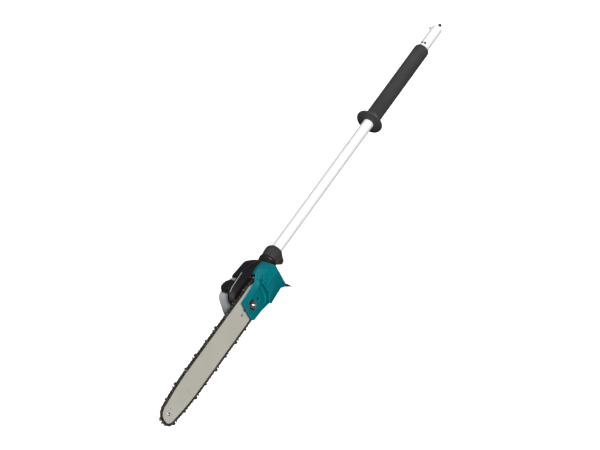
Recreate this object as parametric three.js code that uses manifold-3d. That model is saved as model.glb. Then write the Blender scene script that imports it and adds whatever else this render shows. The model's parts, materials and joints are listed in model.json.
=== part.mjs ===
// Pole saw attachment: a straight aluminium tube that clamps to a power head at one end and
// carries a chain saw head at the other. Millimetres, +X towards the tip of the guide bar,
// +Y out of the sprocket cover, +Z towards the oil cap. The origin is the centre of the tube's
// coupling end. The saw head is drawn in a group whose own X starts where the tube enters it.
import * as THREE from 'three';
import { ConvexGeometry } from 'three/addons/geometries/ConvexGeometry.js';
import { mergeVertices } from 'three/addons/utils/BufferGeometryUtils.js';
import Module from 'manifold-3d';

const wasm = await Module();
wasm.setup();

// ---- driving dimensions ----
const GAP = 0.3;                  // clearance between neighbouring pieces
const TUBE_R = 11.1;
const TUBE_BORE = 9.5;
const NECK_X = 686;               // where the tube enters the saw head
const TUBE_IN_HEAD = 64;          // length of tube inside the head
const SHAFT_R = 3.5;
const SHAFT_TIP = 15;             // drive shaft standing out of the coupling end
const GRIP_X = [71, 298];
const GRIP_R = 16.1;
const GRIP_RIBS = 20;
const GUARD_X = 310;              // rim of the guard
const GUARD_R = 28.4;

const SPINDLE_X = 100;            // sprocket and bevel gear axis, along Y
const APEX_TO_PINION = 16;        // from the spindle axis to the large end of the pinion
const PINION_R = 8.6;
const PINION_TEETH = 9;
const GEAR_R = 15.6;
const GEAR_TEETH = 16;

const BAR_Y = 24;                 // middle plane of the guide bar
const BAR_Z = -4;
const BAR_HALF = 23.5;
const BAR_THICK = 4.2;
const BAR_TAIL = 126;
const TAIL_TAPER_END = 150;       // forward of here the bar has its full width
const BAR_TRAVEL = 4;             // how far the bar slides back when the chain is slackened
const TAPER_START = 380;          // the bar narrows from here to its nose
const NOSE_X = 473.6;
const NOSE_R = 16.7;
const CHAIN_HEIGHT = 7.2;
const CHAIN_WIDTH = 5;
const CHAIN_WRAP_R = 16;          // inside of the chain around the drive sprocket
const STUD_X = 174;
const ADJUSTER_X = 153.5;
const PIN_X = 138;
const TENSION_Z = -6;             // the tensioner's screw, pin and adjuster

const CASE_BACK = -22;
const WALL_Y = 12;                // plane between the gear case or tank and the chain side
const PLATE_Y = [12.3, 15.6];     // back plate of the chain housing
const SKIRT_Y = 20.5;             // where the sprocket cover meets the chain housing
const COVER_TOP = 42;             // raised rear half of the cover
const COVER_LOW = 36.5;           // its lower face round the bar nut
const COVER_RIM = 29;             // open edge of its front half, over the bar
const COVER_WALL = 2.4;
const SHOULDER_Y = 27;            // where the walls of the cover's rear half start to lean in
const TANK_X = [134, 188];
const TANK_TOP = 33;
const CAP_X = 167;
const CAP_Y = -4.6;

// ---- finishes ----
const finish = (color, roughness, metalness) => ({ color, roughness, metalness });
const TUBE_METAL = finish(0xd9dcde, 0.22, 1);
const STEEL = finish(0xa9abad, 0.35, 1);
const DARK_STEEL = finish(0x3a3a38, 0.45, 0.9);
const BAR_STEEL = finish(0xb7b3a8, 0.42, 0.8);
const BRIGHT = finish(0xdadcdd, 0.2, 1);
const BRASS = finish(0xb08d4a, 0.35, 1);
const PUMP_ALLOY = finish(0xc4c6c8, 0.5, 0.7);
const BLACK_PLASTIC = finish(0x1b1a1c, 0.5, 0);
const COLLAR_PLASTIC = finish(0x33312f, 0.6, 0);
const GRIP_RUBBER = finish(0x2c2c2e, 0.85, 0);
const TEAL = finish(0x00747f, 0.4, 0);
const TANK_GREY = finish(0xb4bbbe, 0.4, 0.2);
const OIL_RUBBER = finish(0x232323, 0.8, 0);
const FELT = finish(0xcfc7ae, 0.95, 0);

// ---- from geometry to solid and back ----
const solid = (geometry) => {
  const bare = geometry.clone();
  bare.deleteAttribute('normal');
  bare.deleteAttribute('uv');
  const welded = mergeVertices(bare, 1e-4);
  return new wasm.Manifold(new wasm.Mesh({
    numProp: 3,
    vertProperties: new Float32Array(welded.attributes.position.array),
    triVerts: new Uint32Array(welded.index.array),
  }));
};

const surface = (body) => {
  const mesh = body.getMesh();
  const geometry = new THREE.BufferGeometry();
  geometry.setAttribute('position', new THREE.BufferAttribute(mesh.vertProperties, 3));
  geometry.setIndex(new THREE.BufferAttribute(mesh.triVerts, 1));
  geometry.computeVertexNormals();
  return geometry;
};

const cut = (body, ...tools) => tools.reduce((rest, tool) => rest.subtract(tool), body);
const join = (body, ...others) => others.reduce((sum, other) => sum.add(other), body);

// ---- basic solids, each placed where it belongs ----
const AXES = {
  x: new THREE.Matrix4().makeRotationZ(-Math.PI / 2),
  y: new THREE.Matrix4(),
  z: new THREE.Matrix4().makeRotationX(Math.PI / 2),
};

const TURNS = {
  x: (angle) => new THREE.Matrix4().makeRotationX(angle),
  y: (angle) => new THREE.Matrix4().makeRotationY(angle),
  z: (angle) => new THREE.Matrix4().makeRotationZ(angle),
};

// A body turned by some degrees about an axis through a centre.
const turn = (body, axis, degrees, [x, y, z] = [0, 0, 0]) => {
  const geometry = surface(body);
  geometry.translate(-x, -y, -z);
  geometry.applyMatrix4(TURNS[axis](THREE.MathUtils.degToRad(degrees)));
  geometry.translate(x, y, z);
  return solid(geometry);
};

const lathe = (axis, profile, centre = [0, 0, 0], segments = 24) => {
  const points = profile.map(([radius, along]) => new THREE.Vector2(radius, along));
  const geometry = new THREE.LatheGeometry(points, segments);
  geometry.applyMatrix4(AXES[axis]);
  geometry.translate(...centre);
  return solid(geometry);
};

const rod = (axis, radius, from, to, centre, segments = 20) =>
  lathe(axis, [[0, from], [radius, from], [radius, to], [0, to]], centre, segments);

const ring = (axis, inner, outer, from, to, centre, segments = 20) => lathe(axis,
  [[inner, from], [outer, from], [outer, to], [inner, to], [inner, from]], centre, segments);

const block = ([x0, x1], [y0, y1], [z0, z1]) => {
  const geometry = new THREE.BoxGeometry(x1 - x0, y1 - y0, z1 - z0);
  geometry.translate((x0 + x1) / 2, (y0 + y1) / 2, (z0 + z1) / 2);
  return solid(geometry);
};

const outline = (points) => new THREE.Shape(points.map(([a, b]) => new THREE.Vector2(a, b)));

const roundedOutline = (points, radius) => {
  const shape = new THREE.Shape();
  const count = points.length;
  points.forEach((corner, i) => {
    const before = points[(i + count - 1) % count];
    const after = points[(i + 1) % count];
    const towards = (other) => {
      const length = Math.hypot(other[0] - corner[0], other[1] - corner[1]);
      const step = Math.min(radius, length / 2.2) / length;
      return [corner[0] + (other[0] - corner[0]) * step, corner[1] + (other[1] - corner[1]) * step];
    };
    const start = towards(before);
    const end = towards(after);
    if (i === 0) {
      shape.moveTo(...start);
    } else {
      shape.lineTo(...start);
    }
    shape.quadraticCurveTo(...corner, ...end);
  });
  shape.closePath();
  return shape;
};

const mean = (values) => values.reduce((sum, value) => sum + value, 0) / values.length;

// An outline with every corner moved towards the middle by the same step in X and in Z.
const inset = (points, step) => {
  const x = mean(points.map(([a]) => a));
  const z = mean(points.map(([, b]) => b));
  return points.map(([a, b]) => [a + Math.sign(x - a) * step, b + Math.sign(z - b) * step]);
};

// A plate whose outline lies in the XZ plane, between two heights along Y.
const plate = (shape, y0, y1, chamfer = 0, curveSegments = 3) => {
  const geometry = new THREE.ExtrudeGeometry(shape, {
    depth: y1 - y0 - 2 * chamfer,
    bevelEnabled: chamfer > 0,
    bevelThickness: chamfer,
    bevelSize: chamfer,
    bevelOffset: -chamfer,
    bevelSegments: 1,
    curveSegments,
  });
  geometry.rotateX(Math.PI / 2);
  geometry.translate(0, y1 - chamfer, 0);
  return solid(geometry);
};

// The convex solid between two outlines in the XZ plane, at two heights along Y.
const loft = (lower, y0, upper, y1) => solid(new ConvexGeometry([
  ...lower.map(([x, z]) => new THREE.Vector3(x, y0, z)),
  ...upper.map(([x, z]) => new THREE.Vector3(x, y1, z)),
]));

const hexagon = (acrossFlats, [x, z]) => outline([0, 1, 2, 3, 4, 5].map((i) => {
  const angle = (i * Math.PI) / 3;
  const radius = acrossFlats / Math.sqrt(3);
  return [x + radius * Math.cos(angle), z + radius * Math.sin(angle)];
}));

const slotOutline = (x0, x1, z, radius) => {
  const shape = new THREE.Shape();
  shape.absarc(x1, z, radius, -Math.PI / 2, Math.PI / 2);
  shape.absarc(x0, z, radius, Math.PI / 2, (3 * Math.PI) / 2);
  return shape;
};

const hose = (points, radius, steps) => {
  const circle = new THREE.Shape();
  circle.absarc(0, 0, radius, 0, 2 * Math.PI);
  const path = new THREE.CatmullRomCurve3(points.map((point) => new THREE.Vector3(...point)));
  return solid(new THREE.ExtrudeGeometry(circle, { extrudePath: path, steps, curveSegments: 4 }));
};

// Copies of a body all round an axis.
const around = (count, body, axis, centre) =>
  Array.from({ length: count }, (_, i) => turn(body, axis, (i * 360) / count, centre));

// ---- the model and its nodes ----
const model = new THREE.Group();
const head = new THREE.Group();
head.position.x = NECK_X;
model.add(head);

const put = (group, name, body, look) => {
  const mesh = new THREE.Mesh(surface(body), new THREE.MeshStandardMaterial(look));
  mesh.name = name;
  group.add(mesh);
};

// ---- tube, drive shaft, grip and guard ----
const LOCK_HOLES = { x: 60, radius: 2.9, angles: [-36, 2] };   // degrees about X, from +Z
const BUTTON = { x: 9, angle: 38 };
const BUSH_PLACES = [0.28, 0.5, 0.72, 0.92];                   // shares of the tube's length

function tube() {
  const pipe = ring('x', TUBE_BORE, TUBE_R, 0, NECK_X + TUBE_IN_HEAD, [0, 0, 0], 28);
  const hole = rod('z', LOCK_HOLES.radius, 0, TUBE_R + 2, [LOCK_HOLES.x, 0, 0], 16);
  const holes = LOCK_HOLES.angles.map((angle) => turn(hole, 'x', angle));
  put(model, 'outer_tube', cut(pipe, ...holes), TUBE_METAL);
  const button = lathe('z', [[0, 11.5], [3, 11.5], [3, 13.4], [1.8, 14.6], [0, 14.6]], [BUTTON.x, 0, 0], 16);
  put(model, 'locating_button', turn(button, 'x', BUTTON.angle), STEEL);
  const mouth = lathe('x', [[SHAFT_R + GAP, 1.2], [6, 1.2], [TUBE_BORE - GAP, 2.4],
    [TUBE_BORE - GAP, 14], [SHAFT_R + GAP, 14], [SHAFT_R + GAP, 1.2]]);
  put(model, 'coupling_end_bush', mouth, BLACK_PLASTIC);
  BUSH_PLACES.forEach((share, i) => {
    const x = share * NECK_X;
    const web = lathe('x', [[SHAFT_R + GAP, x - 9], [6, x - 9], [TUBE_BORE - GAP, x - 5],
      [TUBE_BORE - GAP, x + 5], [6, x + 9], [SHAFT_R + GAP, x + 9], [SHAFT_R + GAP, x - 9]]);
    put(model, `shaft_bush_${i + 1}`, web, OIL_RUBBER);
  });
}

function driveShaft() {
  const end = NECK_X + SPINDLE_X - APEX_TO_PINION + 4;
  const core = rod('x', SHAFT_R, 0, end, [0, 0, 0], 20);
  const square = block([-SHAFT_TIP, 0.5], [-2.4, 2.4], [-2.4, 2.4]);
  const shoulder = rod('x', 3.1, -4, 0.5, [0, 0, 0], 20);
  put(model, 'drive_shaft', join(core, square, shoulder), DARK_STEEL);
}

function gripAndGuard() {
  const [start, end] = GRIP_X;
  const inner = TUBE_R + GAP;
  const sleeve = lathe('x', [[inner, start], [GRIP_R - 2, start], [GRIP_R - 0.6, start + 1.5],
    [GRIP_R, start + 4], [GRIP_R, end - 2], [GRIP_R - 1, end], [inner, end], [inner, start]], [0, 0, 0], 40);
  const groove = block([start + 9, end - 4], [-0.5, 0.5], [GRIP_R - 0.7, GRIP_R + 1]);
  put(model, 'grip_sleeve', cut(sleeve, ...around(GRIP_RIBS, groove, 'x')), GRIP_RUBBER);
  const dish = [[inner, end + GAP], [GRIP_R + 1, end + GAP], [GRIP_R + 1.6, GUARD_X - 7],
    [GUARD_R - 1, GUARD_X - 3], [GUARD_R, GUARD_X - 2], [GUARD_R, GUARD_X], [GUARD_R - 1.6, GUARD_X + 1.4],
    [22, GUARD_X + 3.6], [16, GUARD_X + 5], [inner, GUARD_X + 5.4], [inner, end + GAP]];
  put(model, 'guard_flange', lathe('x', dish, [0, 0, 0], 32), GRIP_RUBBER);
}

// ---- neck clamp ----
const CLAMP_X = [21, 50];
const EAR_SCREW = [36.5, -13.6];

function neckClamp() {
  const [start, end] = CLAMP_X;
  const inner = TUBE_R + GAP;
  const dome = lathe('x', [[inner, start], [13.6, start], [16, start + 1.6], [17.8, start + 4.6],
    [18.5, start + 9], [18.3, start + 15], [17.2, start + 23], [17.1, end], [inner, end], [inner, start]],
  [0, 0, 0], 32);
  const ear = plate(roundedOutline([[26, -5], [27, -10], [29.5, -19], [38, -20.8], [end, -11], [end, -5]], 3),
    3, 17.5, 1.2);
  const bore = rod('x', inner, start - 1, end + 1, [0, 0, 0], 28);
  const screwHole = rod('y', 2.4, 0, 30, [EAR_SCREW[0], 0, EAR_SCREW[1]], 16);
  const headHole = rod('y', 4.4, 14, 30, [EAR_SCREW[0], 0, EAR_SCREW[1]], 20);
  const slit = turn(block([end - 11, end + 1], [-0.9, 0.9], [14.5, 20]), 'x', -36);
  put(head, 'neck_clamp', cut(join(dome, ear), bore, screwHole, headHole, slit), COLLAR_PLASTIC);
  const screw = join(
    rod('y', 2.1, 4, 14.4, [EAR_SCREW[0], 0, EAR_SCREW[1]], 16),
    rod('y', 3.9, 14.3, 17, [EAR_SCREW[0], 0, EAR_SCREW[1]], 20),
  );
  const key = plate(hexagon(3.2, EAR_SCREW), 15.6, 18);
  put(head, 'clamp_screw', cut(screw, key), DARK_STEEL);
}

// ---- gear case and what turns inside it ----
const CASE_OUTLINE = [[60, -16], [60, 12], [84, 29], [TANK_X[0] - GAP, 33],
  [TANK_X[0] - GAP, -30], [78, -30]];
const CASE_SCREWS = [[72, -14], [84, 20], [128, 25], [127, -24]];
const PLATE_SCREWS = [[84, -24], [94, 22.6], [126, 24], [122, -26]];
const HOOK_Y = [7, 10];
const HOOK_ROOT_X = [90, 113];
const HOOK_ROOT_Z = -22.6;
const HOOK_SCREW = [101, -26.4];

function gearCase() {
  const shell = plate(roundedOutline(CASE_OUTLINE, 6), CASE_BACK + 3 + GAP, WALL_Y, 0);
  const neck = lathe('x', [[0, CLAMP_X[1] + GAP], [17.2, CLAMP_X[1] + GAP], [18.2, 51.4], [18.2, 55],
    [17.2, 56.4], [17.2, 68], [0, 68]], [0, 0, 0], 32);
  const cavity = block([78, 122], [CASE_BACK, 9.4], [-20, 20]);
  const socket = rod('x', TUBE_R + GAP, CLAMP_X[1] - 1, TUBE_IN_HEAD + GAP, [0, 0, 0], 28);
  const bearingSeat = rod('x', 11.3, TUBE_IN_HEAD, 79, [0, 0, 0], 28);
  const spindleSeat = rod('y', 9.3, 4, WALL_Y + 1, [SPINDLE_X, 0, 0], 24);
  const screwHoles = CASE_SCREWS.map(([x, z]) => rod('y', 1.9, CASE_BACK, -8, [x, 0, z], 12));
  const plateHoles = PLATE_SCREWS.map(([x, z]) => rod('y', 1.9, 2, WALL_Y + 1, [x, 0, z], 12));
  const hookSlot = block([HOOK_ROOT_X[0] - GAP, HOOK_ROOT_X[1] + GAP], [HOOK_Y[0] - GAP, HOOK_Y[1] + GAP],
    [-32, HOOK_ROOT_Z + GAP]);
  const hookHole = rod('y', 1.9, 2, HOOK_Y[1], [HOOK_SCREW[0], 0, HOOK_SCREW[1]], 12);
  const hookHead = rod('y', 3.7, HOOK_Y[1], WALL_Y + 1, [HOOK_SCREW[0], 0, HOOK_SCREW[1]], 18);
  put(head, 'gear_case', cut(join(shell, neck), cavity, socket, bearingSeat, spindleSeat,
    ...screwHoles, ...plateHoles, hookSlot, hookHole, hookHead), BLACK_PLASTIC);

  const lid = plate(roundedOutline(CASE_OUTLINE, 6), CASE_BACK, CASE_BACK + 3);
  const boss = ring('y', 9.3, 12, CASE_BACK + 2, CASE_BACK + 9, [SPINDLE_X, 0, 0]);
  const counterbores = CASE_SCREWS.map(([x, z]) => rod('y', 2, CASE_BACK - 1, 0, [x, 0, z], 12));
  put(head, 'gear_case_lid', cut(join(lid, boss), ...counterbores), BLACK_PLASTIC);
  CASE_SCREWS.forEach(([x, z], i) => {
    const screw = join(
      rod('y', 1.6, CASE_BACK - 0.5, CASE_BACK + 12, [x, 0, z], 12),
      rod('y', 3.4, CASE_BACK - 2.4, CASE_BACK - GAP, [x, 0, z], 18),
    );
    const key = plate(hexagon(2.8, [x, z]), CASE_BACK - 3, CASE_BACK - 1.2);
    put(head, `lid_screw_${i + 1}`, cut(screw, key), DARK_STEEL);
  });
}

function bevelDrive() {
  const large = SPINDLE_X - APEX_TO_PINION;
  const pinionBody = lathe('x', [[SHAFT_R + GAP, 66], [4.4, 66], [4.4, large - 3], [PINION_R - 1, large - 3],
    [PINION_R, large], [PINION_R * 0.5, large + 8], [SHAFT_R + GAP, large + 8], [SHAFT_R + GAP, 66]]);
  const pinionGap = block([large - 4, large + 9], [-0.9, 0.9], [PINION_R - 2, PINION_R + 2]);
  const pinionGaps = around(PINION_TEETH, turn(pinionGap, 'y', 27, [large, 0, 0]), 'x');
  put(head, 'bevel_pinion', cut(pinionBody, ...pinionGaps), STEEL);
  ['rear', 'front'].forEach((place, i) => {
    const x = 65 + i * 7.6;
    put(head, `shaft_bearing_${place}`, ring('x', 4.7, 11, x, x + 6, [0, 0, 0]), BRIGHT);
  });

  const centre = [SPINDLE_X, 0, 0];
  const gearBack = -13.4;
  const gearBody = lathe('y', [[5.3, gearBack], [GEAR_R, gearBack + 1.5], [GEAR_R, -9.6],
    [8, -5.2], [5.3, -5.2], [5.3, gearBack]], centre);
  const gearGap = block([SPINDLE_X + 7, SPINDLE_X + 18], [-11.4, -7], [-0.9, 0.9]);
  const gearGaps = around(GEAR_TEETH, turn(gearGap, 'z', -29, [SPINDLE_X, -11.6, 0]), 'y', centre);
  put(head, 'bevel_gear', cut(gearBody, ...gearGaps), STEEL);
  const spindle = lathe('y', [[0, -18.6], [4.2, -18.6], [4.2, -14], [5, -14], [5, 29], [4.4, 29.4],
    [4.4, 30.6], [5, 31], [5, 32.4], [4.4, 33], [0, 33]], centre, 24);
  put(head, 'spindle', spindle, STEEL);
  put(head, 'spindle_bearing_inner', ring('y', 4.5, 9, CASE_BACK + 3.4, CASE_BACK + 7.6, centre), BRIGHT);
  put(head, 'spindle_bearing_outer', ring('y', 5.3, 9, 6.2, 11.8, centre), BRIGHT);
  const worm = lathe('y', [[5.3, 12.6], [6.6, 12.6], [6, 13.6], [6.6, 14.6], [6, 15.6], [6.6, 16.6],
    [5.3, 16.6], [5.3, 12.6]], centre, 24);
  put(head, 'pump_worm', worm, STEEL);
  const web = ring('y', 5.3, 11.6, BAR_Y - 3.2, BAR_Y + 3.2, centre);
  const tooth = block([SPINDLE_X + 10, SPINDLE_X + 15.4], [BAR_Y - 2, BAR_Y + 2], [-2.4, 2.4]);
  const teeth = around(6, tooth, 'y', centre);
  put(head, 'drive_sprocket', join(web, ...teeth), STEEL);
  put(head, 'sprocket_washer', ring('y', 5.3, 9.5, BAR_Y + 3.5, BAR_Y + 4.9, centre), BRIGHT);
  const clip = ring('y', 4.7, 8, 29.6, 30.4, centre);
  put(head, 'sprocket_clip', cut(clip, block([SPINDLE_X, SPINDLE_X + 9], [29, 31], [-3, 3])), DARK_STEEL);
}

// ---- oil pump, hose and tank ----
const PLUNGER_X = SPINDLE_X + 10;
const PUMP_Y = 15.6;
const HOSE_PORT = [143, 3];

function oilPump() {
  const plunger = join(
    rod('z', 2.4, -13, 8, [PLUNGER_X, PUMP_Y, 0], 16),
    rod('z', 3, -4.5, 4.5, [PLUNGER_X, PUMP_Y, 0], 16),
  );
  put(head, 'pump_plunger', plunger, BRASS);
  const body = block([PLUNGER_X - 3, PLUNGER_X + 9], [PLATE_Y[0], 19.4], [-15, 10.5]);
  const window = block([PLUNGER_X - 4, PLUNGER_X + 4], [PLATE_Y[0] - 1, 20], [-5, 5]);
  const bore = rod('z', 2.7, -16, 12, [PLUNGER_X, PUMP_Y, 0], 16);
  const port = rod('x', 1.2, PLUNGER_X, PLUNGER_X + 10, [0, 14, HOSE_PORT[1]], 12);
  put(head, 'oil_pump_body', cut(body, window, bore, port), PUMP_ALLOY);
  const line = [[PLUNGER_X + 9.4, 14, 3], [128, 14, 3], [135, 14, 3], [141, 13.6, 3],
    [143, 9, 3], [143.4, 3, 1], [146, -2, -6], [152, -4, -11]];
  put(head, 'oil_hose', hose(line, 1.6, 20), OIL_RUBBER);
  put(head, 'oil_filter', rod('x', 4.5, 153.4, 168, [0, -4, -11.4], 20), FELT);
}

const TANK_OUTLINE = [[TANK_X[0], -30], [TANK_X[0], TANK_TOP], [TANK_X[1] - 6, TANK_TOP],
  [TANK_X[1] + 2, 27], [TANK_X[1] + 11, -8], [TANK_X[1] + 4, -30]];

function oilTank() {
  const outer = plate(roundedOutline(TANK_OUTLINE, 7), CASE_BACK, WALL_Y, 1.6);
  const hollow = plate(roundedOutline(inset(TANK_OUTLINE, 2.6), 5), CASE_BACK + 2.4, WALL_Y - 2.4);
  const neck = ring('z', 9.8, 12.4, TANK_TOP - 2, TANK_TOP + 4.4, [CAP_X, CAP_Y, 0]);
  const filler = rod('z', 9.8, TANK_TOP - 6, TANK_TOP + 6, [CAP_X, CAP_Y, 0], 28);
  const port = rod('y', 3.6, 5, WALL_Y + 2, [HOSE_PORT[0], 0, HOSE_PORT[1]], 16);
  const studHole = rod('y', 5.2, WALL_Y - 4, WALL_Y + 1, [STUD_X, 0, BAR_Z], 24);
  const studBoss = rod('y', 7.5, WALL_Y - 6.5, WALL_Y - 1, [STUD_X, 0, BAR_Z], 24);
  const body = cut(join(cut(outer, hollow), neck, studBoss), filler, port, studHole);
  put(head, 'oil_tank', body, TANK_GREY);

  const cap = lathe('z', [[0, 43], [13.4, 43], [15.4, 41], [15.4, TANK_TOP + GAP], [13.6, TANK_TOP + GAP],
    [12.9, TANK_TOP + 1.2], [12.9, TANK_TOP + 5.6], [9.4, TANK_TOP + 5.6], [9.4, TANK_TOP - 3],
    [7, TANK_TOP - 3], [7, TANK_TOP + 7], [0, TANK_TOP + 7], [0, 43]].reverse(), [CAP_X, CAP_Y, 0], 30);
  const axis = [CAP_X, CAP_Y, 0];
  const flutes = around(10, rod('z', 1.5, 30, 41, [CAP_X + 16.2, CAP_Y, 0], 10), 'z', axis);
  const groove = block([CAP_X - 14, CAP_X + 14], [CAP_Y - 3.2, CAP_Y - 1.6], [41.8, 44]);
  const grips = [-30, 150].map((degrees) => turn(groove, 'z', degrees, axis));
  put(head, 'oil_cap', cut(cap, ...flutes, ...grips), BLACK_PLASTIC);
  put(head, 'cap_gasket', ring('z', 9.9, 12.3, TANK_TOP + 4.6, TANK_TOP + 5.4, axis), OIL_RUBBER);
}

// ---- chain housing: black back plate, a seat for the cover and a shoulder over the chain ----
const HOUSING = [[72, -32], [72, 8], [85, 30], [100, 38], [137, 48.5], [186, 45.5], [195, 40], [200.5, 32],
  [201.5, 20], [198, 12], [198, -26], [176, -32]];
const SHOULDER_FOOT = [[110, 32], [124, 43], [138, 47.5], [184, 44.8], [193, 39.6], [199, 31.6], [200.4, 19]];
const SHOULDER_TOP = [[122, 32], [134, 36], [186, 36.4], [194.4, 32.6], [198.6, 27], [199.4, 19]];
const SHOULDER_INSIDE = [[80, 5], [80, 31.8], [184, 33], [192.4, 29.6], [195.6, 22], [195.6, 5]];
const SKIRT = [[73, 9], [73, -37], [124, -36], [124, 28.4], [108, 30.6], [86, 28.6]];

const CHIP_EXIT = block([70, 90], [PLATE_Y[1], COVER_RIM], [-45, -30]);

function chainHousing() {
  const back = plate(roundedOutline(HOUSING, 5), ...PLATE_Y);
  const shoulder = cut(
    loft(SHOULDER_FOOT, PLATE_Y[1] - 1, SHOULDER_TOP, 24),
    plate(outline(SHOULDER_INSIDE), PLATE_Y[1], 30),
  );
  const seat = cut(
    plate(roundedOutline(SKIRT, 4), PLATE_Y[1] - 1, SKIRT_Y - GAP),
    plate(roundedOutline(inset(SKIRT, COVER_WALL), 3), PLATE_Y[1], SKIRT_Y),
    block([121, 130], [PLATE_Y[1], SKIRT_Y], [-50, 50]),
    CHIP_EXIT,
  );
  const pad = plate(roundedOutline([[128, -16], [128, 9], [192, 9], [192, -16]], 4), PLATE_Y[1] - 1, 19.8);
  const chainWay = block([192, 210], [20.9, 30], [10, 27.8]);
  const spindleHole = rod('y', 12, 10, 22, [SPINDLE_X, 0, 0], 24);
  const pumpPocket = block([PLUNGER_X - 3.4, PLUNGER_X + 9.4], [10, 22], [-15.4, 10.9]);
  const hosePocket = block([PLUNGER_X + 9, 147], [10, 16.2], [0.8, 5.4]);
  const tensionPocket = block([129, ADJUSTER_X + 8], [PLATE_Y[0] - 1, 21], [TENSION_Z - 5, TENSION_Z + 5]);
  const studHole = rod('y', 4.3, 10, 22, [STUD_X, 0, BAR_Z], 24);
  const screwHoles = PLATE_SCREWS.map(([x, z]) => rod('y', 2, 10, 22, [x, 0, z], 12));
  put(head, 'chain_housing', cut(join(back, shoulder, seat, pad), chainWay, spindleHole, pumpPocket,
    hosePocket, tensionPocket, studHole, ...screwHoles), BLACK_PLASTIC);
  PLATE_SCREWS.forEach(([x, z], i) => {
    const screw = join(
      rod('y', 1.6, 3, PLATE_Y[1] + 0.6, [x, 0, z], 12),
      rod('y', 3.2, PLATE_Y[1] + GAP, PLATE_Y[1] + 2.4, [x, 0, z], 18),
    );
    put(head, `housing_screw_${i + 1}`, screw, STEEL);
  });
}

// ---- guide bar, chain and tensioner ----
// Half width of the bar at x, measured from its centre line, up to the nose.
const barHalf = (x) => {
  const tail = x < TAIL_TAPER_END ? ((x - TAIL_TAPER_END) / (TAIL_TAPER_END - BAR_TAIL)) * 7 : 0;
  const share = Math.max(0, (x - TAPER_START) / (NOSE_X + 2.4 - TAPER_START));
  return BAR_HALF + tail - (BAR_HALF - NOSE_R + 0.2) * share * share;
};

const barEdge = (offset) => {
  const stations = [BAR_TAIL, 138, TAIL_TAPER_END, 265, TAPER_START, 400, 420, 440, 458];
  const upper = stations.map((x) => [x, BAR_Z + barHalf(x) + offset]);
  const nose = [];
  for (let i = 0; i <= 12; i += 1) {
    const angle = Math.PI / 2 - 0.146 - (i / 12) * (Math.PI - 0.292);
    const radius = NOSE_R + offset;
    nose.push([NOSE_X + radius * Math.cos(angle), BAR_Z + radius * Math.sin(angle)]);
  }
  const lower = stations.map((x) => [x, BAR_Z - barHalf(x) - offset]).reverse();
  return [...upper, ...nose, ...lower];
};

// The chain's loop: along the bar's edge, straight on over the bar's travel, then round the sprocket.
const chainEdge = (offset) => {
  const half = BAR_HALF + GAP + offset;
  const back = TAIL_TAPER_END - BAR_TRAVEL - 1;
  const run = barEdge(GAP + offset).filter(([x]) => x >= TAIL_TAPER_END);
  const wrap = [];
  for (let i = 0; i <= 12; i += 1) {
    const angle = -1.52 - (i / 12) * (2 * Math.PI - 3.04);
    const radius = CHAIN_WRAP_R + offset;
    wrap.push([SPINDLE_X + radius * Math.cos(angle), radius * Math.sin(angle)]);
  }
  return [[back, BAR_Z + half], ...run, [back, BAR_Z - half], ...wrap];
};

function guideBar() {
  const half = BAR_THICK / 2;
  const blank = plate(outline(barEdge(0)), BAR_Y - half, BAR_Y + half);
  const groove = cut(
    plate(outline(barEdge(1)), BAR_Y - 0.75, BAR_Y + 0.75),
    plate(outline(barEdge(-4.5)), BAR_Y - 1, BAR_Y + 1),
  );
  const noseSlot = rod('y', NOSE_R + 2, BAR_Y - 0.95, BAR_Y + 0.95, [NOSE_X, 0, BAR_Z], 28);
  const hubHole = rod('y', 3.3, BAR_Y - 3, BAR_Y + 3, [NOSE_X, 0, BAR_Z], 20);
  const studSlot = plate(slotOutline(147, 188, BAR_Z, 4.4), BAR_Y - 3, BAR_Y + 3);
  const pinHole = rod('y', 2.5, BAR_Y - 3, BAR_Y + 3, [PIN_X, 0, TENSION_Z], 16);
  const oilHole = rod('y', 2, BAR_Y - 3, BAR_Y + 3, [199.5, 0, BAR_Z - 3], 16);
  put(head, 'guide_bar', cut(blank, groove, noseSlot, hubHole, studSlot, pinHole, oilHole), BAR_STEEL);
  const hub = rod('y', 3, BAR_Y - half, BAR_Y + half, [NOSE_X, 0, BAR_Z], 20);
  put(head, 'nose_hub', hub, STEEL);
  const disc = ring('y', 3.4, 10.2, BAR_Y - 0.65, BAR_Y + 0.65, [NOSE_X, 0, BAR_Z]);
  const tooth = block([NOSE_X + 9.4, NOSE_X + 14.6], [BAR_Y - 0.65, BAR_Y + 0.65],
    [BAR_Z - 1.7, BAR_Z + 1.7]);
  const teeth = around(7, tooth, 'y', [NOSE_X, 0, BAR_Z]);
  put(head, 'nose_sprocket', join(disc, ...teeth), DARK_STEEL);
}

function sawChain() {
  const half = CHAIN_WIDTH / 2;
  const loop = cut(
    plate(outline(chainEdge(CHAIN_HEIGHT)), BAR_Y - half, BAR_Y + half),
    plate(outline(chainEdge(0)), BAR_Y - half - 1, BAR_Y + half + 1),
  );
  put(head, 'saw_chain', loop, DARK_STEEL);
}

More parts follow.
